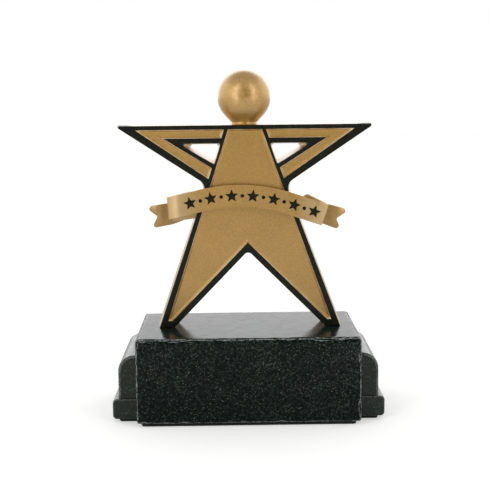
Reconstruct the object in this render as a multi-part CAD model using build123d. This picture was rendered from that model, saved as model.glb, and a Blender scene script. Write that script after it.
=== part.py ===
from build123d import *
import os
from math import acos, atan2, cos, hypot, pi, radians, sin

# Star trophy: a flat star figure with a ball head and a forked ribbon, on a stepped plinth.
# Millimetres. +Z is up, the front faces -Y, and the origin is on the ground under the
# middle of the plinth.

# Plinth: a front block with a lower step at each side, all on one pad.
block_width = 89.0
block_depth = 56.4
block_top = 35.4
block_corner_radius = 1.4
block_edge_radius = 0.8
pad_thickness = 1.4
pad_inset = 1.7
pad_corner_radius = 1.5
pad_wing_relief = 0.6

step_setback = 8.0
step_top = 27.0
step_width = 7.8
step_shoulder_radius = 6.4
ledge_top = 9.6
ledge_width = 2.3
ledge_reveal = 1.2
ledge_radius = 1.7
ledge_edge_radius = 0.7
step_edge_radius = 1.5

# Star figure: the front of the raised outline, the front of the casting behind it, its back.
star_front = -5.0
outline_depth = 1.4
star_back = 7.0
star_flare = 3.9
window_draft = 4.0
star_top = 118.0
lean_rate = 0.015
lean_level = 103.0

# Half widths and heights of the star's corners, measured from its centre line.
tip_half = 52.3
armpit_half, armpit_z = 16.1, 94.05
foot_outer_half, foot_inner_half = 37.1, 31.1
crotch_z = 67.0
armpit_radius = 4.0
crotch_radius = 1.9
tip_radius = 0.6
window_radius = 0.7
outline_edge_radius = 0.42

# Sunk gold panels.
panel_top = 116.3
torso_top_half = 6.85
torso_foot_z = 38.2
torso_foot_outer_half, torso_foot_inner_half = 33.5, 31.8
torso_crotch_z = 70.4
arm_gap = 1.6
arm_tip_half = 44.2
arm_elbow_half, arm_elbow_z = 33.0, 112.8
arm_inner_drop = 100.8
arm_outer_drop = 96.4
window_top = 110.8
window_near_half = 9.9
window_far_half = 27.0
window_low_half, window_low_z = 12.7, 102.1
panel_rise = 1.15
panel_floor = 0.5
panel_lip = 0.12
panel_wall_angle = 42.0

# Head.
head_radius = 10.75
head_z = 129.25
neck_radius = 5.2
collar_height = 1.0
collar_radius = 6.0
collar_hollow_in, collar_hollow_down = 0.15, 0.1
head_y = (star_front + star_back) / 2

# Ribbon: in the front view the band is an arc about (band_axis_x, band_axis_z) that runs
# straight on at both ends. A place along it is an angle in degrees, clockwise from straight up.
band_axis_x, band_axis_z = -3.0, 25.4
band_outer_radius = 68.7
band_arc_left, band_arc_right = -12.8, 18.8
band_left_angle, band_right_angle = -28.0, 32.2
ribbon_width = 8.9
ribbon_thickness = 1.8
band_end_flat, band_end_bend_radius = 5.5, 22.0

# The left end rolls back in a wide bend and then a tight one, and returns behind the band.
roll_x, roll_z = -26.3, 86.0
roll_lean = -2.6
roll_wide_radius, roll_wide_turn = 8.0, 33.0
roll_gap = 3.3
roll_length = 14.0
run_start_angle = -17.0
run_corners = [(-30.0, 79.2), (-19.0, 80.6), (-19.0, 88.4), (-30.0, 88.4)]

motif_count = 7
motif_first_angle, motif_last_angle = -17.8, 28.0
motif_radius = 2.8
motif_inner_radius = 1.25
dot_radius = 0.75
motif_depth = 0.5
inlay_recess = 0.12

# Forked tails, each behind its end of the band and curling forwards beyond a half width.
tail_curl_radius = 14.0
tail_flat_length = 30.0
tail_tip_radius, tail_notch_radius = 1.2, 0.9
tail_left_curl_half, tail_right_curl_half = 31.5, 33.6
tail_left_sag_radius = 6.0
tail_right_crest_radius = 3.0
fold_hump = (24.9, 89.9)
fold_shoulder = (21.9, 88.6)
fold_low_corner = (22.4, 81.6)
fold_radius = 1.2

# Dowels.
foot_pin_radius = 1.25
foot_pin_half = 33.4
foot_pin_up, foot_pin_down = 6.0, 12.0
head_pin_radius = 1.5
head_pin_up, head_pin_down = 7.0, 8.0
band_peg_radius = 1.2
band_peg_angles = (-6.5, 11.5)
band_peg_front, band_peg_back = -6.0, 1.5

block_front = -block_depth / 2
block_back = block_depth / 2
step_front = block_front + step_setback
casting_front = star_front + outline_depth
band_back = star_front
band_front = band_back - ribbon_thickness
band_inner_radius = band_outer_radius - ribbon_width
band_middle_radius = band_outer_radius - ribbon_width / 2
roll_tight_radius = (roll_gap - roll_wide_radius * (1 - cos(radians(roll_wide_turn)))) / (
    1 + cos(radians(roll_wide_turn))
)
run_front = band_front + roll_gap
tail_left_front = run_front + ribbon_thickness
tail_right_front = band_back + ribbon_thickness
reach = 200.0
touch = 0.1
overshoot = 1.0
nearly_all = 0.9


def lean(z):
    """Sideways drift of the hand-modelled figure at height z."""
    return lean_rate * (lean_level - z)


def figure_point(half_width, z, side=1):
    return (side * half_width + lean(z), z)


def both_sides(points):
    """The right-hand corners, bottom to top, and the same corners mirrored."""
    right = [figure_point(half, z) for half, z in points]
    left = [figure_point(half, z, -1) for half, z in reversed(points) if half > 0]
    return right + left


def front_plane(y):
    return Plane.XZ.offset(-y)


def front_face(points, y):
    return front_plane(y) * Polygon(*points, align=None)


def prism(face, y_front, y_back, flare=0.0):
    """A front-view face carried back, and widened on the way by the flare angle."""
    return extrude(face, amount=y_back - y_front, dir=(0, 1, 0), taper=-flare)


def slab(points, y_front, y_back, flare=0.0):
    return prism(front_face(points, y_front), y_front, y_back, flare)


def depth_dowel(x, z, radius, y_front, y_back):
    circle = front_plane(y_front) * Pos(x, z) * Circle(radius)
    return prism(circle, y_front, y_back)


def nearest_vertex(face, x, z):
    """The corner of a front-view face nearest to (x, z)."""
    return face.vertices().sort_by(lambda v: hypot(v.X - x, v.Z - z))[0]


def upright_dowel(x, y, radius, z_low, z_high):
    return Pos(x, y, z_low) * extrude(Circle(radius), amount=z_high - z_low)


# ---- Plinth ----


def make_plinth_block():
    height = block_top - pad_thickness
    centre = Pos(0, 0, pad_thickness + height / 2)
    block = centre * Box(block_width, block_depth, height)
    block = fillet(block.edges().filter_by(Axis.Z), block_corner_radius)
    levels = block.faces().sort_by(Axis.Z)
    block = fillet(levels[-1].edges() + levels[0].edges(), block_edge_radius)
    return block - make_foot_pins()


def wing_block(outer, levels, rounded, corner_radius, y_front, edge_radius):
    """A block beside the plinth, with the given outer corners rounded, and the edges of both ends."""
    inner = block_width / 2
    low, high = levels
    profile = front_face([(inner, low), (outer, low), (outer, high), (inner, high)], y_front)
    profile = fillet([nearest_vertex(profile, outer, z) for z in rounded], corner_radius)
    block = prism(profile, y_front, block_back)
    ends = block.faces().sort_by(Axis.Y)
    end_edges = ends[0].edges() + ends[-1].edges()
    lowest = low - touch if low in rounded else low + touch
    shown = end_edges.filter_by(lambda e: e.center().X > inner + touch and e.center().Z > lowest)
    return fillet(shown, edge_radius)


def make_side_step(side):
    """A wing whose top rolls over in a quarter round, on a ledge that stands out beside and before it."""
    upper_half = block_width / 2 + step_width
    upper_levels = (ledge_top / 2, step_top)
    upper_front = step_front + ledge_reveal
    upper = wing_block(
        upper_half, upper_levels, [step_top], step_shoulder_radius, upper_front, step_edge_radius
    )
    ledge_half = upper_half + ledge_width
    ledge_levels = (pad_thickness, ledge_top)
    ledge = wing_block(ledge_half, ledge_levels, ledge_levels, ledge_radius, step_front, ledge_edge_radius)
    step = upper + ledge
    return step if side > 0 else mirror(step, Plane.YZ)


def make_base_pad():
    """One die-cut sheet, inset under the block and both steps."""
    wing_half = block_width / 2 + step_width + ledge_width - pad_inset - pad_wing_relief
    back = block_back - pad_inset
    under_block = Rectangle(block_width - 2 * pad_inset, block_depth - 2 * pad_inset)
    wing_front = step_front + pad_inset
    under_steps = Pos(0, (wing_front + back) / 2) * Rectangle(2 * wing_half, back - wing_front)
    sheet = under_block + under_steps
    sheet = fillet(sheet.vertices(), pad_corner_radius)
    return extrude(sheet, amount=pad_thickness)


# ---- Star figure ----


def star_contour():
    return both_sides([
        (0, crotch_z),
        (foot_inner_half, block_top),
        (foot_outer_half, block_top),
        (armpit_half, armpit_z),
        (tip_half, star_top),
    ])


def torso_contour():
    return both_sides([
        (0, torso_crotch_z),
        (torso_foot_inner_half, torso_foot_z),
        (torso_foot_outer_half, torso_foot_z),
        (torso_top_half, panel_top),
    ])


def torso_half(z):
    """Half width of the torso panel at height z: its two long sides are straight."""
    share = (panel_top - z) / (panel_top - torso_foot_z)
    return torso_top_half + share * (torso_foot_outer_half - torso_top_half)


def arm_contour(side):
    """The V of an arm: an upper bar and a slanting lower bar, both ending at the torso."""
    corners = [
        (torso_half(panel_top) + arm_gap, panel_top),
        (arm_tip_half, panel_top),
        (torso_half(arm_outer_drop) + arm_gap, arm_outer_drop),
        (torso_half(arm_inner_drop) + arm_gap, arm_inner_drop),
        (arm_elbow_half, arm_elbow_z),
        (torso_half(arm_elbow_z) + arm_gap, arm_elbow_z),
    ]
    return [figure_point(half, z, side) for half, z in corners]


def window_contour(side):
    corners = [
        (window_near_half, window_top),
        (window_far_half, window_top),
        (window_low_half, window_low_z),
    ]
    return [figure_point(half, z, side) for half, z in corners]


def round_depth_edge(solid, x, z, radius):
    """Round the edge that runs from front to back nearest to (x, z) in the front view."""
    depth = star_back - star_front
    long_edges = solid.edges().filter_by(lambda e: abs((e @ 1 - e @ 0).Y) > nearly_all * depth)

    def distance(edge):
        front_end = min(edge @ 0, edge @ 1, key=lambda p: p.Y)
        return hypot(front_end.X - x, front_end.Z - z)

    return fillet(long_edges.sort_by(distance)[0], radius)


def make_star_blank():
    """The whole flared figure, front of the outline to back, with its windows open."""
    blank = slab(star_contour(), star_front, star_back, star_flare)
    level_height = star_top - block_top
    between_levels = Pos(0, 0, block_top + level_height / 2) * Box(reach, reach, level_height)
    blank = blank & between_levels
    for side in (-1, 1):
        blank = round_depth_edge(blank, *figure_point(armpit_half, armpit_z, side), armpit_radius)
        blank = round_depth_edge(blank, *figure_point(tip_half, star_top, side), tip_radius)
    blank = round_depth_edge(blank, *figure_point(0, crotch_z), crotch_radius)
    for side in (-1, 1):
        window = slab(window_contour(side), star_front, star_back, -window_draft)
        for x, z in window_contour(side):
            window = round_depth_edge(window, x, z, window_radius)
        blank = blank - window
    return blank


def behind(y):
    """Everything behind depth y."""
    return Pos(0, y + reach / 2, star_top / 2) * Box(2 * reach, reach, 2 * reach)


def make_star_body(blank):
    body = blank & behind(casting_front)
    return body - make_foot_pins() - make_head_pin() - make_banner_pegs()


def make_outline_frame(blank):
    """The raised rim: the front slice of the figure with the panel fields left open."""
    frame = blank - behind(casting_front)
    for contour in (torso_contour(), arm_contour(-1), arm_contour(1)):
        frame = frame - slab(contour, star_front - overshoot, casting_front + overshoot)
    crest = frame.faces().sort_by(Axis.Y)[0]
    return fillet(crest.edges(), outline_edge_radius)


def make_panel(contour):
    """A shallow dish: a flat field with walls that slope up to the outline."""
    lip_y = casting_front - panel_rise
    floor_y = casting_front - panel_floor
    panel = slab(contour, lip_y, casting_front)
    mouth = offset(front_face(contour, lip_y), amount=-panel_lip, kind=Kind.INTERSECTION)
    return panel - prism(mouth, lip_y, floor_y, -panel_wall_angle)


# ---- Head ----


def make_head_ball():
    """A ball drawn down by a cone that leaves it at a tangent."""
    neck_z = star_top + collar_height
    drop = neck_z - head_z
    swing = acos(head_radius / hypot(neck_radius, drop))
    tangent = atan2(drop, neck_radius) + swing
    foot_point = (neck_radius, neck_z)
    leave_point = (head_radius * cos(tangent), head_z + head_radius * sin(tangent))
    side_point = (head_radius, head_z)
    top_point = (0, head_z + head_radius)
    profile = make_face([
        Line((0, neck_z), foot_point),
        Line(foot_point, leave_point),
        ThreePointArc(leave_point, side_point, top_point),
        Line(top_point, (0, neck_z)),
    ])
    ball = Pos(lean(head_z), head_y, 0) * revolve(Plane.XZ * profile, Axis.Z)
    return ball - make_head_pin()


def make_neck_collar():
    """A low ring that flares out in a hollow curve to meet the star."""
    waist = (neck_radius, star_top + collar_height)
    brim = (collar_radius, star_top)
    hollow = (
        (waist[0] + brim[0]) / 2 - collar_hollow_in,
        (waist[1] + brim[1]) / 2 - collar_hollow_down,
    )
    profile = make_face([
        Line((0, star_top), brim),
        ThreePointArc(brim, hollow, waist),
        Line(waist, (0, star_top + collar_height)),
        Line((0, star_top + collar_height), (0, star_top)),
    ])
    collar = Pos(lean(head_z), head_y, 0) * revolve(Plane.XZ * profile, Axis.Z)
    return collar - make_head_pin()


# ---- Ribbon ----


def band_turn(angle):
    """The direction of the band's width at a place: it stops turning where the arc ends."""
    return radians(min(max(angle, band_arc_left), band_arc_right))


def band_point(radius, angle):
    """A point of the front view, on the arc or on the straight run beyond its end."""
    turn = band_turn(angle)
    beyond = (radians(angle) - turn) * band_middle_radius
    return (
        band_axis_x + radius * sin(turn) + beyond * cos(turn),
        band_axis_z + radius * cos(turn) - beyond * sin(turn),
    )


def band_side(radius):
    """One long side of the band: straight, arc, straight."""
    places = (band_left_angle, band_arc_left, 0, band_arc_right, band_right_angle)
    points = [band_point(radius, place) for place in places]
    return points, [Line(*points[:2]), ThreePointArc(*points[1:4]), Line(*points[3:])]


def band_outline(y):
    outer, outer_edges = band_side(band_outer_radius)
    inner, inner_edges = band_side(band_inner_radius)
    ends = [Line(outer[0], inner[0]), Line(outer[-1], inner[-1])]
    return front_plane(y) * make_face(outer_edges + inner_edges + ends)


def roll_frame():
    """The slightly leaning line where the band starts to roll back."""
    return Pos(roll_x, 0, roll_z) * Rot(0, roll_lean, 0)


def band_end_relief():
    """All that lies behind the front of the band, which bends back near its right end."""
    end_x, end_z = band_point(band_middle_radius, band_right_angle)
    frame = Pos(end_x, 0, end_z) * Rot(0, band_arc_right, 0)
    before_bend = Box(reach, reach, reach, align=(Align.MAX, Align.MIN, Align.CENTER))
    bend = Pos(0, band_end_bend_radius, 0) * Cylinder(band_end_bend_radius, reach)
    return frame * Pos(-band_end_flat, band_front, 0) * (before_bend + bend)


def motif_angles():
    pitch = (motif_last_angle - motif_first_angle) / (motif_count - 1)
    stars = [motif_first_angle + index * pitch for index in range(motif_count)]
    dots = [angle + pitch / 2 for angle in stars[:-1]]
    return stars, dots


def star_motif(angle):
    centre_x, centre_z = band_point(band_middle_radius, angle)
    corners = []
    for index in range(10):
        radius = motif_inner_radius if index % 2 else motif_radius
        turn = band_turn(angle) + index * pi / 5
        corners.append((centre_x + radius * sin(turn), centre_z + radius * cos(turn)))
    return corners


def make_motifs(y_front):
    """The row of stars and dots, from depth y_front to the floor of their pockets."""
    y_floor = band_front + motif_depth
    stars, dots = motif_angles()
    motifs = [slab(star_motif(angle), y_front, y_floor) for angle in stars]
    for angle in dots:
        x, z = band_point(band_middle_radius, angle)
        motifs.append(depth_dowel(x, z, dot_radius, y_front, y_floor))
    return motifs


def make_banner_band():
    right_of_roll = roll_frame() * Box(reach, reach, reach, align=(Align.MIN, Align.CENTER, Align.CENTER))
    band = prism(band_outline(band_front), band_front, band_back) & right_of_roll & band_end_relief()
    for motif in make_motifs(band_front - overshoot):
        band = band - motif
    return band - make_banner_pegs()


def rolled_sheet():
    """The sheet of the roll and its return, from a plan-view path of two bends and a run."""
    start = (0, band_front + ribbon_thickness / 2)
    wide = JernArc(start, (-1, 0), roll_wide_radius, -roll_wide_turn)
    tight = JernArc(wide @ 1, wide % 1, roll_tight_radius, roll_wide_turn - 180)
    run = Line(tight @ 1, tight @ 1 + (roll_length, 0))
    section = trace([wide, tight, run], ribbon_thickness)
    return roll_frame() * extrude(section, amount=2 * ribbon_width, both=True)


def make_banner_roll_left(star_body):
    """The end of the band rolled back, and its run towards the star."""
    places = (
        (band_outer_radius, band_left_angle),
        (band_outer_radius, run_start_angle),
        (band_inner_radius, run_start_angle),
        (band_inner_radius, band_left_angle),
    )
    roll_outline = slab([band_point(*place) for place in places], band_front, star_back)
    run_outline = slab(run_corners, run_front, star_back)
    return (roll_outline + run_outline) & rolled_sheet() - star_body


def curled_sheet(y_front, curl_start, side):
    """A sheet that runs flat and then curls forwards beyond curl_start."""
    half = ribbon_thickness / 2
    middle_y = y_front + half
    flat_middle = side * (curl_start - tail_flat_length / 2)
    flat = Pos(flat_middle, middle_y) * Rectangle(tail_flat_length, ribbon_thickness)
    ring = Circle(tail_curl_radius + half) - Circle(tail_curl_radius - half)
    quarter = ring & Rectangle(reach, reach, align=(Align.MIN if side > 0 else Align.MAX, Align.MIN))
    curl = Pos(side * curl_start, middle_y - tail_curl_radius) * quarter
    return extrude(flat + curl, amount=reach, dir=(0, 0, 1))


def make_tail(corners, rounded, y_front, curl_start, side, star_body):
    """A forked ribbon tail: its front-view outline cut out of a curled sheet."""
    outline = front_face(corners, y_front - tail_curl_radius)
    for (x, z), radius in rounded:
        outline = fillet(nearest_vertex(outline, x, z), radius)
    block = prism(outline, y_front - tail_curl_radius, star_back)
    return (block & curled_sheet(y_front, curl_start, side)) - star_body


def tail_ends(upper_tip, notch, lower_tip):
    """The rounding of the three corners of a fork."""
    return [(upper_tip, tail_tip_radius), (notch, tail_notch_radius), (lower_tip, tail_tip_radius)]


def make_banner_tail_left(star_body):
    upper_tip, notch, lower_tip = (-41.0, 85.3), (-36.1, 81.2), (-38.8, 76.3)
    sag = (-29.8, 77.9)
    corners = [(-19.0, 88.2), upper_tip, notch, lower_tip, sag, (-25.0, 79.7), (-19.0, 80.4)]
    rounded = tail_ends(upper_tip, notch, lower_tip) + [(sag, tail_left_sag_radius)]
    return make_tail(corners, rounded, tail_left_front, tail_left_curl_half, -1, star_body)


def make_banner_tail_right(star_body):
    upper_tip, notch, lower_tip = (41.8, 83.3), (36.6, 79.6), (38.6, 74.7)
    crest = (26.6, 88.4)
    corners = [(19.0, 88.6), crest, (33.4, 85.5), upper_tip, notch, lower_tip, (30.5, 77.8), (19.0, 80.6)]
    rounded = tail_ends(upper_tip, notch, lower_tip) + [(crest, tail_right_crest_radius)]
    return make_tail(corners, rounded, tail_right_front, tail_right_curl_half, 1, star_body)


def make_banner_fold_right():
    """The flat return behind the right end, which humps up above the band."""
    end_top = band_point(band_outer_radius, band_right_angle)
    end_low = band_point(band_inner_radius, band_right_angle)
    corners = [end_top, end_low, fold_low_corner, fold_shoulder, fold_hump]
    outline = front_face(corners, band_back)
    for corner in (fold_hump, fold_shoulder):
        outline = fillet(nearest_vertex(outline, *corner), fold_radius)
    return prism(outline, band_back, band_back + ribbon_thickness)


# ---- Dowels ----


def make_foot_pins():
    pins = [
        upright_dowel(
            figure_point(foot_pin_half, block_top, side)[0],
            head_y,
            foot_pin_radius,
            block_top - foot_pin_down,
            block_top + foot_pin_up,
        )
        for side in (-1, 1)
    ]
    return Compound(children=pins)


def make_head_pin():
    return upright_dowel(
        lean(head_z), head_y, head_pin_radius, star_top - head_pin_down, star_top + head_pin_up
    )


def make_banner_pegs():
    pegs = [
        depth_dowel(*band_point(band_middle_radius, angle), band_peg_radius, band_peg_front, band_peg_back)
        for angle in band_peg_angles
    ]
    return Compound(children=pegs)


def main():
    blank = make_star_blank()
    star_body = make_star_body(blank)
    nodes = {
        "plinth_block": make_plinth_block(),
        "side_step_left": make_side_step(-1),
        "side_step_right": make_side_step(1),
        "base_pad": make_base_pad(),
        "star_body": star_body,
        "outline_frame": make_outline_frame(blank),
        "torso_panel": make_panel(torso_contour()) - make_banner_pegs(),
        "arm_panel_left": make_panel(arm_contour(-1)),
        "arm_panel_right": make_panel(arm_contour(1)),
        "head_ball": make_head_ball(),
        "neck_collar": make_neck_collar(),
        "banner_band": make_banner_band(),
        "banner_star_inlays": Compound(children=make_motifs(band_front + inlay_recess)),
        "banner_roll_left": make_banner_roll_left(star_body),
        "banner_fold_right": make_banner_fold_right(),
        "banner_tail_left": make_banner_tail_left(star_body),
        "banner_tail_right": make_banner_tail_right(star_body),
        "foot_pins": make_foot_pins(),
        "head_pin": make_head_pin(),
        "banner_pegs": make_banner_pegs(),
    }
    os.makedirs("parts", exist_ok=True)
    for name, shape in nodes.items():
        export_step(shape, f"parts/{name}.step")


main()
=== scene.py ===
import bpy
import bmesh
from math import cos, pi, radians, sin, tan
from mathutils import Matrix, Vector, noise


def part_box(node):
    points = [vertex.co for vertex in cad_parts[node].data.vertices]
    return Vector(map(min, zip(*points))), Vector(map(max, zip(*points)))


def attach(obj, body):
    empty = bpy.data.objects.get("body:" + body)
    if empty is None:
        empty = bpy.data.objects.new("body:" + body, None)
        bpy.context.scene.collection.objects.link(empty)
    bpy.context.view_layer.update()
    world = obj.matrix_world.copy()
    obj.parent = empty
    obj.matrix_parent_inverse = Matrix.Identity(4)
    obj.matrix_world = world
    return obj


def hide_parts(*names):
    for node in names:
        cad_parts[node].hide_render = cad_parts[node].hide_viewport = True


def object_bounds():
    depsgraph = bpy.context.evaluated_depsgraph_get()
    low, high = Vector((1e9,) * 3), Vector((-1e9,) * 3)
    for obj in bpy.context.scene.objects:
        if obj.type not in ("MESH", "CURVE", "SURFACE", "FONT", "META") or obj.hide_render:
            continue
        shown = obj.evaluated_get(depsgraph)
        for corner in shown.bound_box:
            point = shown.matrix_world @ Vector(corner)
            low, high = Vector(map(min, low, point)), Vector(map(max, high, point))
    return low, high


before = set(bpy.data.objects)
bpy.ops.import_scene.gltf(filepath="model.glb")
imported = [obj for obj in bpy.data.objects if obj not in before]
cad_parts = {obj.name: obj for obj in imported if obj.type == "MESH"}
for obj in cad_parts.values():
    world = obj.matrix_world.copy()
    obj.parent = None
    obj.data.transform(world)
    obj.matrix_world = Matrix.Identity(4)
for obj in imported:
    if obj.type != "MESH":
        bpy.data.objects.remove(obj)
cad_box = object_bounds()
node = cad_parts
rim_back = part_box("outline_frame")[1][1]
MM = 0.001


# ---- Camera, light and floor ----

camera_place = Vector((-4.9, -469.2, 130.5)) * MM
camera_pitch = radians(7.5)
camera_yaw = radians(-0.52)
camera_roll = radians(-0.64)
camera_lens = 84.5
camera_near = 10 * MM
sensor_width = 36.0

# A white tent, open and dark in a cone towards the front. Its wall goes round in rings, each
# given by where it starts, as an angle from the front, and by how bright it is on the left and right.
tent_opening_level = 0.08
tent_rings = (
    (radians(25), 0.35, 0.10),
    (radians(48), 1.15, 1.00),
    (radians(65), 0.90, 0.55),
    (radians(90), 1.15, 1.15),
    (radians(135), 1.60, 1.60),
)
tent_roof_level, tent_roof_angle = 0.48, radians(42)
backdrop_level = 1.0

# Half the width of the soft change between two rings, and between the left and the right.
tent_seam = radians(2)
tent_side_seam = 0.1

# Two upright strip lights, in front at the left and the right, that the camera doesn't see.
strip_width, strip_height = 0.09, 0.96
strip_aim = Vector((0, 0, 0.5))
left_strip_place, left_strip_power = Vector((-0.38, -0.52, 0.50)), 1.3
right_strip_place, right_strip_power = Vector((0.43, -0.48, 0.50)), 1.0

# The floor is pale paper that is shown overexposed, as the backdrop is.
floor_half = 3.0
floor_dark, floor_pale = (0.855, 0.855, 0.845, 1), (0.86, 0.86, 0.85, 1)
floor_glow, floor_glow_colour = 0.42, (1, 1, 0.99, 1)


def make_camera():
    data = bpy.data.cameras.new("camera")
    data.lens = camera_lens
    data.sensor_width = sensor_width
    data.clip_start = camera_near
    camera = bpy.data.objects.new("camera", data)
    aim = Matrix.Rotation(camera_yaw, 4, "Z") @ Matrix.Rotation(pi / 2 - camera_pitch, 4, "X")
    camera.matrix_world = Matrix.Translation(camera_place) @ aim @ Matrix.Rotation(camera_roll, 4, "Z")
    bpy.context.scene.collection.objects.link(camera)
    bpy.context.scene.camera = camera


def add_node(tree, kind, inputs=None, **settings):
    """A shader node with its settings made, and each input set to a value or linked to a socket."""
    made = tree.nodes.new(kind)
    for key, value in settings.items():
        setattr(made, key, value)
    for key, value in (inputs or {}).items():
        if isinstance(value, bpy.types.NodeSocket):
            tree.links.new(value, made.inputs[key])
        else:
            made.inputs[key].default_value = value
    return made


def smooth_step(tree, value, start, end, at_start=0.0, at_end=1.0):
    """One level before start and another past end, with a smooth change between. End may be the lower."""
    made = add_node(
        tree,
        "ShaderNodeMapRange",
        {"Value": value, "From Min": start, "From Max": end, "To Min": at_start, "To Max": at_end},
        interpolation_type="SMOOTHSTEP",
    )
    return made.outputs[0]


def maths(tree, operation, first, second=0.0):
    return add_node(tree, "ShaderNodeMath", {0: first, 1: second}, operation=operation).outputs[0]


def mix_levels(tree, share, first, second):
    made = add_node(tree, "ShaderNodeMix", {0: share, 2: first, 3: second}, data_type="FLOAT")
    return made.outputs[0]


def make_world():
    world = bpy.data.worlds.new("tent")
    bpy.context.scene.world = world
    world.use_nodes = True
    tree = world.node_tree
    tree.nodes.clear()
    direction = add_node(tree, "ShaderNodeTexCoord").outputs["Generated"]
    axes = add_node(tree, "ShaderNodeSeparateXYZ", {0: direction}).outputs
    forward = maths(tree, "MULTIPLY", axes["Y"], -1.0)
    level = tent_opening_level
    for start, left, right in tent_rings:
        ring = smooth_step(tree, axes["X"], -tent_side_seam, tent_side_seam, left, right)
        reached = smooth_step(tree, forward, cos(start - tent_seam), cos(start + tent_seam))
        level = mix_levels(tree, reached, level, ring)
    roof_start, roof_end = sin(tent_roof_angle - tent_seam), sin(tent_roof_angle + tent_seam)
    roof = smooth_step(tree, axes["Z"], roof_start, roof_end)
    level = mix_levels(tree, roof, level, tent_roof_level)
    seen = add_node(tree, "ShaderNodeLightPath").outputs["Is Camera Ray"]
    shown = mix_levels(tree, seen, level, backdrop_level)
    light = add_node(tree, "ShaderNodeBackground", {"Color": (1, 1, 1, 1), "Strength": shown})
    output = add_node(tree, "ShaderNodeOutputWorld")
    tree.links.new(light.outputs[0], output.inputs["Surface"])


def make_strip(name, place, power):
    data = bpy.data.lights.new(name, "AREA")
    data.shape = "RECTANGLE"
    data.size = strip_width
    data.size_y = strip_height
    data.energy = power
    lamp = bpy.data.objects.new(name, data)
    lamp.location = place
    lamp.rotation_euler = (strip_aim - place).to_track_quat("-Z", "Y").to_euler()
    lamp.visible_camera = False
    bpy.context.scene.collection.objects.link(lamp)


# ---- Materials ----

block_index, step_index, enamel_index, lacquer_index = 1.22, 1.36, 1.28, 1.8

# Gold paint: the dark and the light of its mottle. The tails' darker gold is painted shade behind the
# band; the ribbon's pale gold is a painted highlight towards its ends; the panels' pale gold is a painted
# highlight along their lips, partly rubbed wear too.
head_low, head_high = (0.53, 0.300, 0.070, 1), (0.71, 0.43, 0.110, 1)
body_low, body_high = (0.53, 0.290, 0.050, 1), (0.71, 0.41, 0.082, 1)
shaded_tail_low, shaded_tail_high = (0.41, 0.222, 0.037, 1), (0.55, 0.315, 0.061, 1)
ribbon_end_highlight = (0.72, 0.50, 0.22, 1)
lip_highlight_and_rub_pale = (0.90, 0.74, 0.48, 1)
gold_metal = 0.9
gold_speck_shade = 0.55
lacquer_rough = 0.28

# Black enamel, on the rim and where it laps over the star's sides.
enamel_lap = (0.010, 0.012, 0.010, 1)
enamel_black, enamel_dust = (0.0115, 0.0125, 0.0070, 1), (0.028, 0.028, 0.018, 1)
enamel_rubbed = (0.050, 0.040, 0.024, 1)

# Cast stone. The steps are a little greyer than the block, and the pale line along their edges, partly
# wear and partly a painted highlight on the rounded edges, is weaker.
block_dark, block_edge_wear_and_highlight = (0.0006, 0.0040, 0.0024, 1), 1.0
step_dark, step_edge_wear_and_highlight = (0.0150, 0.0245, 0.0190, 1), 0.45
crumb_low, crumb_high = (0.016, 0.022, 0.019, 1), (0.060, 0.070, 0.064, 1)
fleck_colour = (0.125, 0.150, 0.134, 1)
# Upward faces are evened out towards this dull colour: a painted reflection that washes out the crumbs on
# the top.
top_reflection_colour = (0.008, 0.015, 0.0125, 1)
# The pale edge line: partly wear, partly a painted highlight on the rounded edges.
edge_wear_and_highlight_colour = (0.30, 0.32, 0.315, 1)

felt_low, felt_high = (0.005, 0.005, 0.005, 1), (0.024, 0.024, 0.023, 1)
steel_low, steel_high = (0.45, 0.46, 0.48, 1), (0.60, 0.61, 0.63, 1)


def new_material(name):
    material = bpy.data.materials.new(name)
    material.use_nodes = True
    tree = material.node_tree
    tree.nodes.clear()
    shader = add_node(tree, "ShaderNodeBsdfPrincipled")
    output = add_node(tree, "ShaderNodeOutputMaterial")
    tree.links.new(shader.outputs[0], output.inputs["Surface"])
    return material, tree, shader


def place_in(tree):
    return add_node(tree, "ShaderNodeTexCoord").outputs["Object"]


def facing_in(tree):
    """How much the surface faces along X, Y and Z, each from 0 to 1."""
    normal = add_node(tree, "ShaderNodeTexCoord").outputs["Normal"]
    size = add_node(tree, "ShaderNodeVectorMath", {0: normal}, operation="ABSOLUTE").outputs[0]
    return add_node(tree, "ShaderNodeSeparateXYZ", {0: size}).outputs


def noise_in(tree, place, scale, detail=2.0, rough=0.5):
    inputs = {"Vector": place, "Scale": scale, "Detail": detail, "Roughness": rough}
    return add_node(tree, "ShaderNodeTexNoise", inputs).outputs["Fac"]


def patches(tree, place, between, levels=(0.0, 1.0), **grain):
    """Soft-edged patches of noise: the level changes from the first to the second between two values."""
    return smooth_step(tree, noise_in(tree, place, **grain), *between, *levels)


def blend(tree, share, first, second):
    made = add_node(tree, "ShaderNodeMix", {0: share, 6: first, 7: second}, data_type="RGBA")
    return made.outputs[2]


def set_input(tree, shader, name, value):
    tree.links.new(value, shader.inputs[name])


def tint(tree, shader, share, colour):
    """Lay a second colour over the shader's base colour, by a share."""
    under = shader.inputs["Base Color"].links[0].from_socket
    set_input(tree, shader, "Base Color", blend(tree, share, under, colour))


def add_bump(tree, shader, height, strength, depth, under=None):
    inputs = {"Height": height, "Strength": strength, "Distance": depth}
    if under is not None:
        inputs["Normal"] = under
    bumped = add_node(tree, "ShaderNodeBump", inputs).outputs[0]
    tree.links.new(bumped, shader.inputs["Normal"])
    return bumped


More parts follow.
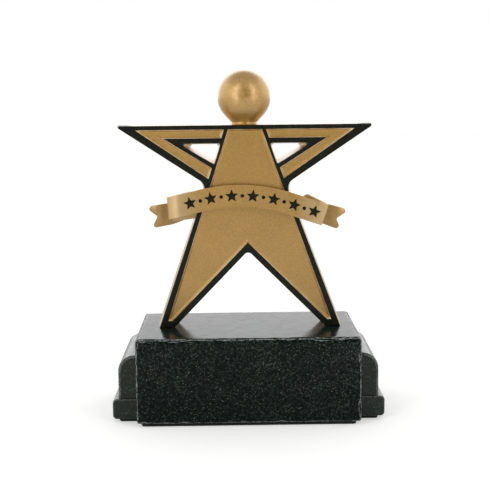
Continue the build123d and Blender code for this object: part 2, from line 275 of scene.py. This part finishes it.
def gold_paint(name, low, high):
    """Satin metallic paint under a thin lacquer: a fine pearl mottle over a slightly uneven casting."""
    cloud_share, mottle_range = 0.25, (0.38, 0.88)
    material, tree, shader = new_material(name)
    place = place_in(tree)
    pearl = noise_in(tree, place, scale=1500, detail=4, rough=0.6)
    cloud = noise_in(tree, place, scale=90, detail=3)
    mottle = maths(tree, "ADD", pearl, maths(tree, "MULTIPLY", cloud, cloud_share))
    colour = blend(tree, smooth_step(tree, mottle, *mottle_range), low, high)
    speck = patches(tree, place, (0.70, 0.80), scale=2600, detail=1)
    speck_colour = tuple(gold_speck_shade * value for value in low[:3]) + (1,)
    set_input(tree, shader, "Base Color", blend(tree, speck, colour, speck_colour))
    satin = patches(tree, place, (0.3, 0.7), levels=(0.42, 0.54), scale=700, detail=3)
    set_input(tree, shader, "Roughness", satin)
    shader.inputs["Metallic"].default_value = gold_metal
    shader.inputs["Coat Weight"].default_value = 1.0
    shader.inputs["Coat Roughness"].default_value = lacquer_rough
    shader.inputs["Coat IOR"].default_value = lacquer_index
    waves = noise_in(tree, place, scale=160, detail=3)
    uneven = add_bump(tree, shader, waves, strength=0.12, depth=0.12 * MM)
    add_bump(tree, shader, pearl, strength=0.18, depth=0.06 * MM, under=uneven)
    return material, tree, shader


def panel_paint(low, high, pale):
    """The same gold, painted pale here and there along the raised lip round each sunk panel: a painted
    highlight, partly rubbed wear too.
    """
    lip_highlight_end, lip_highlight_full = 0.34 * MM, 0.10 * MM
    material, tree, shader = gold_paint("gold_paint_panels", low, high)
    place = place_in(tree)
    depth = add_node(tree, "ShaderNodeSeparateXYZ", {0: place}).outputs["Y"]
    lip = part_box("torso_panel")[0][1]
    # Near the front of the lip the gold turns pale: painted highlight, partly rubbed wear.
    rim = smooth_step(tree, depth, lip + lip_highlight_end, lip + lip_highlight_full)
    patchy = patches(tree, place, (0.34, 0.56), scale=95, detail=3, rough=0.6)
    tint(tree, shader, maths(tree, "MULTIPLY", rim, patchy), pale)
    return material


def ribbon_paint(low, high, pale):
    """The same gold, painted paler towards both ends of the ribbon: a painted highlight."""
    left_start, left_end = -17 * MM, -28 * MM
    right_start, right_end = 19 * MM, 27 * MM
    most_end_highlight = 0.8
    material, tree, shader = gold_paint("gold_paint_ribbon", low, high)
    across = add_node(tree, "ShaderNodeSeparateXYZ", {0: place_in(tree)}).outputs["X"]
    left = smooth_step(tree, across, left_start, left_end)
    right = smooth_step(tree, across, right_start, right_end)
    # The paler tint towards the ends is a painted highlight.
    tint(tree, shader, maths(tree, "MULTIPLY", maths(tree, "ADD", left, right), most_end_highlight), pale)
    return material


def star_paint(low, high):
    """Gold paint that the black of the rim laps over at the front of the sides, with a ragged line."""
    lap, ragged_lap, tip_lap, seam = 0.15 * MM, 0.9 * MM, 14 * MM, 0.08 * MM
    tip_near, tip_far = 0.82 * cad_box[1][0], 0.92 * cad_box[1][0]
    material, tree, shader = gold_paint("gold_paint_star", low, high)
    place = place_in(tree)
    axes = add_node(tree, "ShaderNodeSeparateXYZ", {0: place}).outputs
    rough_line = patches(tree, place, (0.42, 0.75), scale=330, detail=4, rough=0.6)
    ragged = maths(tree, "MULTIPLY", rough_line, ragged_lap)
    reach_out = add_node(tree, "ShaderNodeMath", {0: axes["X"]}, operation="ABSOLUTE").outputs[0]
    tips = smooth_step(tree, reach_out, tip_near, tip_far, 0.0, tip_lap)
    line = maths(tree, "ADD", maths(tree, "ADD", ragged, tips), rim_back + lap)
    behind = maths(tree, "SUBTRACT", axes["Y"], line)
    gold_share = smooth_step(tree, behind, -seam, seam)
    gold = shader.inputs["Base Color"].links[0].from_socket
    set_input(tree, shader, "Base Color", blend(tree, gold_share, enamel_lap, gold))
    set_input(tree, shader, "Metallic", maths(tree, "MULTIPLY", gold_share, gold_metal))
    set_input(tree, shader, "Coat Weight", gold_share)
    shader.inputs["IOR"].default_value = enamel_index
    return material


def black_enamel():
    """Gloss enamel, slightly uneven, with dust and rubbed spots."""
    material, tree, shader = new_material("black_enamel_brushed")
    place = place_in(tree)
    dust = patches(tree, place, (0.55, 0.80), scale=900, detail=4, rough=0.65)
    colour = blend(tree, dust, enamel_black, enamel_dust)
    rubbed = patches(tree, place, (0.70, 0.78), scale=420, detail=5, rough=0.7)
    set_input(tree, shader, "Base Color", blend(tree, rubbed, colour, enamel_rubbed))
    gloss = patches(tree, place, (0.3, 0.7), levels=(0.20, 0.34), scale=500, detail=3)
    set_input(tree, shader, "Roughness", gloss)
    shader.inputs["IOR"].default_value = enamel_index
    waves = noise_in(tree, place, scale=300, detail=3)
    add_bump(tree, shader, waves, strength=0.22, depth=0.15 * MM)
    return material


def stone_flecks(tree, place):
    """How bright each small silver fleck is. Few are bright, and some places have more than others."""
    fleck_scale, contrast = 1900.0, 3.0
    cells = add_node(tree, "ShaderNodeTexVoronoi", {"Vector": place, "Scale": fleck_scale})
    pick = add_node(tree, "ShaderNodeSeparateColor", {0: cells.outputs["Color"]}).outputs[0]
    chosen = smooth_step(tree, pick, 0.35, 1.0)
    core = smooth_step(tree, cells.outputs["Distance"], 0.55, 0.25)
    glint = patches(tree, place, (0.32, 0.66), levels=(0.25, 1.0), scale=260, detail=3, rough=0.6)
    bright = maths(tree, "MULTIPLY", maths(tree, "POWER", chosen, contrast), core)
    return maths(tree, "MULTIPLY", bright, glint)


def rounded_edges(tree, facing, every_edge):
    """Where the surface turns: at every edge, or only where it turns away from the front or back."""
    if every_edge:
        flatness = maths(tree, "MAXIMUM", maths(tree, "MAXIMUM", facing["X"], facing["Y"]), facing["Z"])
        return smooth_step(tree, flatness, 0.90, 0.78)
    turning = smooth_step(tree, facing["Y"], 0.15, 0.40)
    return maths(tree, "MULTIPLY", turning, smooth_step(tree, facing["Y"], 0.97, 0.88))


def speckled_stone(name, every_edge, dark, index, edge_wear_and_highlight):
    """Near-black cast stone: grey crumbs, silver flecks, upward faces evened out as a painted reflection,
    and a pale line along its edges that is partly wear, partly painted highlight.
    """
    pale_start, most_lift, grey_share, most_top_reflection, worn_rough = 0.35, 0.8, 0.6, 0.7, 0.4
    material, tree, shader = new_material(name)
    place = place_in(tree)
    facing = facing_in(tree)
    height = add_node(tree, "ShaderNodeSeparateXYZ", {0: place}).outputs["Z"]
    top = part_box("plinth_block")[1][2]

    crumb = patches(tree, place, (0.45, 0.78), scale=1000, detail=3, rough=0.75)
    drift = patches(tree, place, (0.35, 0.70), scale=45, detail=2)
    lift = maths(tree, "ADD", drift, smooth_step(tree, height, pale_start * top, top, 0.0, most_lift))
    grey = blend(tree, maths(tree, "MULTIPLY", lift, grey_share), crumb_low, crumb_high)
    base = blend(tree, crumb, dark, grey)
    stone = blend(tree, stone_flecks(tree, place), base, fleck_colour)
    # Faces turned upwards blend towards one dull colour: a painted reflection washing out the crumbs.
    top_reflection_wash = smooth_step(tree, facing["Z"], 0.6, 0.95, 0.0, most_top_reflection)
    stone = blend(tree, top_reflection_wash, stone, top_reflection_colour)

    # The pale line along the edges is partly wear and partly a painted highlight where rounded edges
    # catch the light.
    edge = rounded_edges(tree, facing, every_edge)
    patchy = patches(tree, place, (0.36, 0.60), scale=1100, detail=4, rough=0.7)
    worn_and_highlit = maths(tree, "MULTIPLY", maths(tree, "MULTIPLY", edge, patchy), edge_wear_and_highlight)
    set_input(tree, shader, "Base Color", blend(tree, worn_and_highlit, stone, edge_wear_and_highlight_colour))
    polish = patches(tree, place, (0.3, 0.7), levels=(0.14, 0.22), scale=300, detail=3)
    rubbed = maths(tree, "MULTIPLY", worn_and_highlit, worn_rough)
    set_input(tree, shader, "Roughness", maths(tree, "ADD", polish, rubbed))
    shader.inputs["IOR"].default_value = index
    waves = noise_in(tree, place, scale=250, detail=2)
    swell = add_bump(tree, shader, waves, strength=0.06, depth=0.1 * MM)
    add_bump(tree, shader, crumb, strength=0.10, depth=0.02 * MM, under=swell)
    return material


def felt():
    material, tree, shader = new_material("felt_pad")
    fibre = noise_in(tree, place_in(tree), scale=2500, detail=4, rough=0.7)
    set_input(tree, shader, "Base Color", blend(tree, fibre, felt_low, felt_high))
    set_input(tree, shader, "Roughness", smooth_step(tree, fibre, 0.3, 0.7, 0.88, 1.0))
    shader.inputs["Sheen Weight"].default_value = 0.25
    add_bump(tree, shader, fibre, strength=0.6, depth=0.2 * MM)
    return material


def turned_steel():
    material, tree, shader = new_material("turned_steel")
    turned = noise_in(tree, place_in(tree), scale=1200, detail=3)
    set_input(tree, shader, "Base Color", blend(tree, turned, steel_low, steel_high))
    set_input(tree, shader, "Roughness", smooth_step(tree, turned, 0.3, 0.7, 0.25, 0.4))
    shader.inputs["Metallic"].default_value = 1.0
    return material


def floor_paper():
    material, tree, shader = new_material("floor_paper")
    grain = noise_in(tree, place_in(tree), scale=400, detail=3)
    set_input(tree, shader, "Base Color", blend(tree, grain, floor_dark, floor_pale))
    shader.inputs["Roughness"].default_value = 0.9
    shader.inputs["Specular IOR Level"].default_value = 0.0
    shader.inputs["Emission Color"].default_value = floor_glow_colour
    seen = add_node(tree, "ShaderNodeLightPath").outputs["Is Camera Ray"]
    set_input(tree, shader, "Emission Strength", maths(tree, "MULTIPLY", seen, floor_glow))
    return material


# ---- Pieces ----

# How round the cast and painted edges are.
star_radius, band_radius, roll_radius, fold_radius = 0.45 * MM, 0.22 * MM, 0.30 * MM, 0.35 * MM
panel_radius, panel_hollow_radius = 0.045 * MM, 0.28 * MM
inlay_radius = 0.06 * MM
radius_segments = 3

# When a CAD mesh is joined: the gap that is closed, the turn that counts as flat, and the turn
# that counts as a sharp edge. Edges shorter than a sliver go, and faces below an area are shaded smooth.
joined_gap, flat_turn, sharp_turn = 0.002 * MM, radians(0.3), radians(28)
sliver = 0.0005 * MM
smooth_area = 2 * MM * MM
most_corners = 4

# The star's edges are left sharp in front of this line, where the outline covers them.
covered_depth = rim_back + MM

# The block's rounded edges, the grid of its surface and the depth of its chips. A point lies on an
# edge where it stands out along two axes by more than edge_share of the radius.
block_radius, block_grid, block_chip = 1.2 * MM, 1.0 * MM, 0.9 * MM
turn_steps = 5
chip_scale, chip_start = 420, 0.08
grit_scale, grit_share = 1100, 0.4
edge_share = 0.02

# The felt's cut edge: how far in it lies, in mm, at each share of the pad's height, and its fuzz.
felt_edge = ((0.0, 0.35), (0.25, 0.08), (0.5, 0.0), (0.75, 0.05), (1.0, 0.25))
felt_grid = 1.5 * MM
fuzz_depth, fuzz_scale, fuzz_drift = 0.12, 300, 7
facing_down = -0.9


def add_piece(name, mesh, material, replaced):
    """A visible piece that rides on the trophy and stands for one CAD node."""
    mesh.materials.clear()
    mesh.materials.append(material)
    piece = bpy.data.objects.new(name, mesh)
    bpy.context.scene.collection.objects.link(piece)
    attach(piece, "root")
    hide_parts(replaced)
    return piece


def mesh_of(shell, name):
    """The shell as a mesh. The shell is freed."""
    mesh = bpy.data.meshes.new(name)
    shell.to_mesh(mesh)
    shell.free()
    return mesh


def joined_copy(name):
    """The CAD node's mesh as one closed shell, with its flat faces whole."""
    shell = bmesh.new()
    shell.from_mesh(node[name].data)
    bmesh.ops.remove_doubles(shell, verts=shell.verts, dist=joined_gap)
    bmesh.ops.dissolve_limit(shell, angle_limit=flat_turn, verts=shell.verts, edges=shell.edges)
    return shell


def everywhere(place):
    return True


def behind_outline(place):
    return place.y > covered_depth


def softened(name, radius, material, hollow_radius=None, chosen=everywhere):
    """A copy of a CAD node with its sharp edges rounded, as paint and casting leave them."""
    shell = joined_copy(name)
    for width, hollow in ((hollow_radius or radius, True), (radius, False)):
        edges = [
            edge
            for edge in shell.edges
            if edge.calc_face_angle(0) > sharp_turn
            and edge.is_convex != hollow
            and all(chosen(end.co) for end in edge.verts)
        ]
        bmesh.ops.bevel(
            shell,
            geom=edges,
            offset=width,
            segments=radius_segments,
            profile=0.5,
            affect="EDGES",
            clamp_overlap=True,
            miter_outer="SHARP",
        )
    bmesh.ops.dissolve_degenerate(shell, dist=sliver, edges=shell.edges)
    for face in shell.faces:
        face.smooth = face.calc_area() < smooth_area
    bmesh.ops.triangulate(shell, faces=[face for face in shell.faces if len(face.verts) > most_corners])
    return add_piece(name + "_cast", mesh_of(shell, name + "_cast"), material, name)


def edge_stops(low, high, radius, spacing):
    """Places along one axis of a block: evenly turned through the rounded ends, even between them."""
    turns = [radius * tan(radians(45 * step / turn_steps)) for step in range(turn_steps + 1)]
    first, last = low + radius, high - radius
    count = max(1, round((last - first) / spacing))
    middle = [first + (last - first) * step / count for step in range(1, count)]
    return [first - turn for turn in reversed(turns)] + middle + [last + turn for turn in turns]


def block_surface(stops):
    """The six faces of a block, gridded at the given stops along each axis, as one shell."""
    shell = bmesh.new()
    made = {}

    def vertex(place):
        if place not in made:
            made[place] = shell.verts.new([stops[axis][place[axis]] for axis in range(3)])
        return made[place]

    for axis in range(3):
        across, along = (axis + 1) % 3, (axis + 2) % 3
        for end in (0, len(stops[axis]) - 1):
            for first in range(len(stops[across]) - 1):
                for second in range(len(stops[along]) - 1):
                    right, up = first + 1, second + 1
                    ring = [(first, second), (right, second), (right, up), (first, up)]
                    if end == 0:
                        ring.reverse()
                    corners = []
                    for here, there in ring:
                        place = [0, 0, 0]
                        place[axis], place[across], place[along] = end, here, there
                        corners.append(vertex(tuple(place)))
                    shell.faces.new(corners)
    return shell


def round_and_chip(shell, low, high, radius, chip_depth):
    """Round a block's edges and nick them here and there, always inwards."""
    for vertex in shell.verts:
        inner = Vector(
            [min(max(vertex.co[axis], low[axis] + radius), high[axis] - radius) for axis in range(3)]
        )
        out = vertex.co - inner
        on_edge = sum(abs(value) > edge_share * radius for value in out) > 1
        if out.length > 0:
            out.normalize()
        chip = max(0.0, noise.noise(vertex.co * chip_scale) - chip_start)
        nick = chip + grit_share * max(0.0, noise.noise(vertex.co * grit_scale))
        depth = chip_depth * nick if on_edge else 0.0
        vertex.co = inner + out * (radius - depth)


def make_plinth_block(material):
    low, high = (Vector(corner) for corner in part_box("plinth_block"))
    stops = [edge_stops(low[axis], high[axis], block_radius, block_grid) for axis in range(3)]
    shell = block_surface(stops)
    round_and_chip(shell, low, high, block_radius, block_chip)
    for face in shell.faces:
        face.smooth = True
    mesh = mesh_of(shell, "plinth_block_stone")
    add_piece("plinth_block_stone", mesh, material, "plinth_block")


def outline_points(name, spacing):
    """Evenly spaced points round the underside of a CAD node."""
    shell = joined_copy(name)
    underside = next(face for face in shell.faces if face.normal.z < facing_down)
    corners = [loop.vert.co.copy() for loop in underside.loops]
    shell.free()
    points = []
    for here, there in zip(corners, corners[1:] + corners[:1]):
        count = max(1, round((there - here).length / spacing))
        points += [here.lerp(there, step / count) for step in range(count)]
    return points


def make_felt_pad(material):
    """The pad with a soft, slightly uneven cut edge, bulging between the plinth and the ground."""
    low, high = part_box("base_pad")
    ring = outline_points("base_pad", felt_grid)
    centre = Vector((0, (low[1] + high[1]) / 2, 0))
    shell = bmesh.new()
    rings = []
    for rise, inset in felt_edge:
        loop = []
        for index, point in enumerate(ring):
            ahead, back = ring[(index + 1) % len(ring)], ring[index - 1]
            side = (ahead - back).normalized().cross(Vector((0, 0, 1)))
            inward = side if side.dot(centre - point) > 0 else -side
            fuzz = fuzz_depth * (1 + noise.noise(point * fuzz_scale + Vector((0, 0, fuzz_drift * rise))))
            place = point + inward * (inset + fuzz) * MM
            place.z = low[2] + rise * (high[2] - low[2])
            loop.append(shell.verts.new(place))
        rings.append(loop)
    size = len(ring)
    for lower, upper in zip(rings, rings[1:]):
        for index in range(size):
            following = (index + 1) % size
            shell.faces.new((lower[index], lower[following], upper[following], upper[index]))
    shell.faces.new(list(reversed(rings[0])))
    shell.faces.new(rings[-1])
    bmesh.ops.recalc_face_normals(shell, faces=shell.faces)
    pad = add_piece("base_pad_felt", mesh_of(shell, "base_pad_felt"), material, "base_pad")


def dress(name, material):
    for slot in node[name].material_slots:
        slot.material = material


def make_floor():
    mesh = bpy.data.meshes.new("floor")
    corners = [(x * floor_half, y * floor_half, 0) for x, y in ((-1, -1), (1, -1), (1, 1), (-1, 1))]
    mesh.from_pydata(corners, [], [(0, 1, 2, 3)])
    mesh.materials.append(floor_paper())
    floor = bpy.data.objects.new("floor", mesh)
    bpy.context.scene.collection.objects.link(floor)


# ---- The scene ----

make_camera()
make_world()
make_floor()
make_strip("strip_left", left_strip_place, left_strip_power)
make_strip("strip_right", right_strip_place, right_strip_power)

body_gold = gold_paint("gold_paint_body", body_low, body_high)[0]
panel_gold = panel_paint(body_low, body_high, lip_highlight_and_rub_pale)
# The tails' gold is darker: painted shade where they lie back behind the band.
shaded_tail_gold = gold_paint("gold_paint_tails_shaded", shaded_tail_low, shaded_tail_high)[0]
ribbon_gold = ribbon_paint(body_low, body_high, ribbon_end_highlight)
head_gold = gold_paint("gold_paint_head", head_low, head_high)[0]
enamel = black_enamel()
star_gold = star_paint(body_low, body_high)

softened("star_body", star_radius, star_gold, chosen=behind_outline)
for name in ("torso_panel", "arm_panel_left", "arm_panel_right"):
    softened(name, panel_radius, panel_gold, hollow_radius=panel_hollow_radius)
softened("banner_band", band_radius, ribbon_gold)
softened("banner_roll_left", roll_radius, ribbon_gold)
softened("banner_fold_right", fold_radius, body_gold)
# The tails take the darker gold, painted shade behind the band.
for name in ("banner_tail_left", "banner_tail_right"):
    softened(name, fold_radius, shaded_tail_gold)
softened("banner_star_inlays", inlay_radius, enamel)
dress("outline_frame", enamel)
for name in ("head_ball", "neck_collar"):
    dress(name, head_gold)

make_plinth_block(speckled_stone("speckled_stone_block", True, block_dark, block_index, block_edge_wear_and_highlight))
step_stone = speckled_stone("speckled_stone_step", False, step_dark, step_index, step_edge_wear_and_highlight)
for name in ("side_step_left", "side_step_right"):
    dress(name, step_stone)
make_felt_pad(felt())
pin_steel = turned_steel()
for name in ("foot_pins", "head_pin", "banner_pegs"):
    dress(name, pin_steel)

bpy.context.scene.view_settings.view_transform = "Standard"
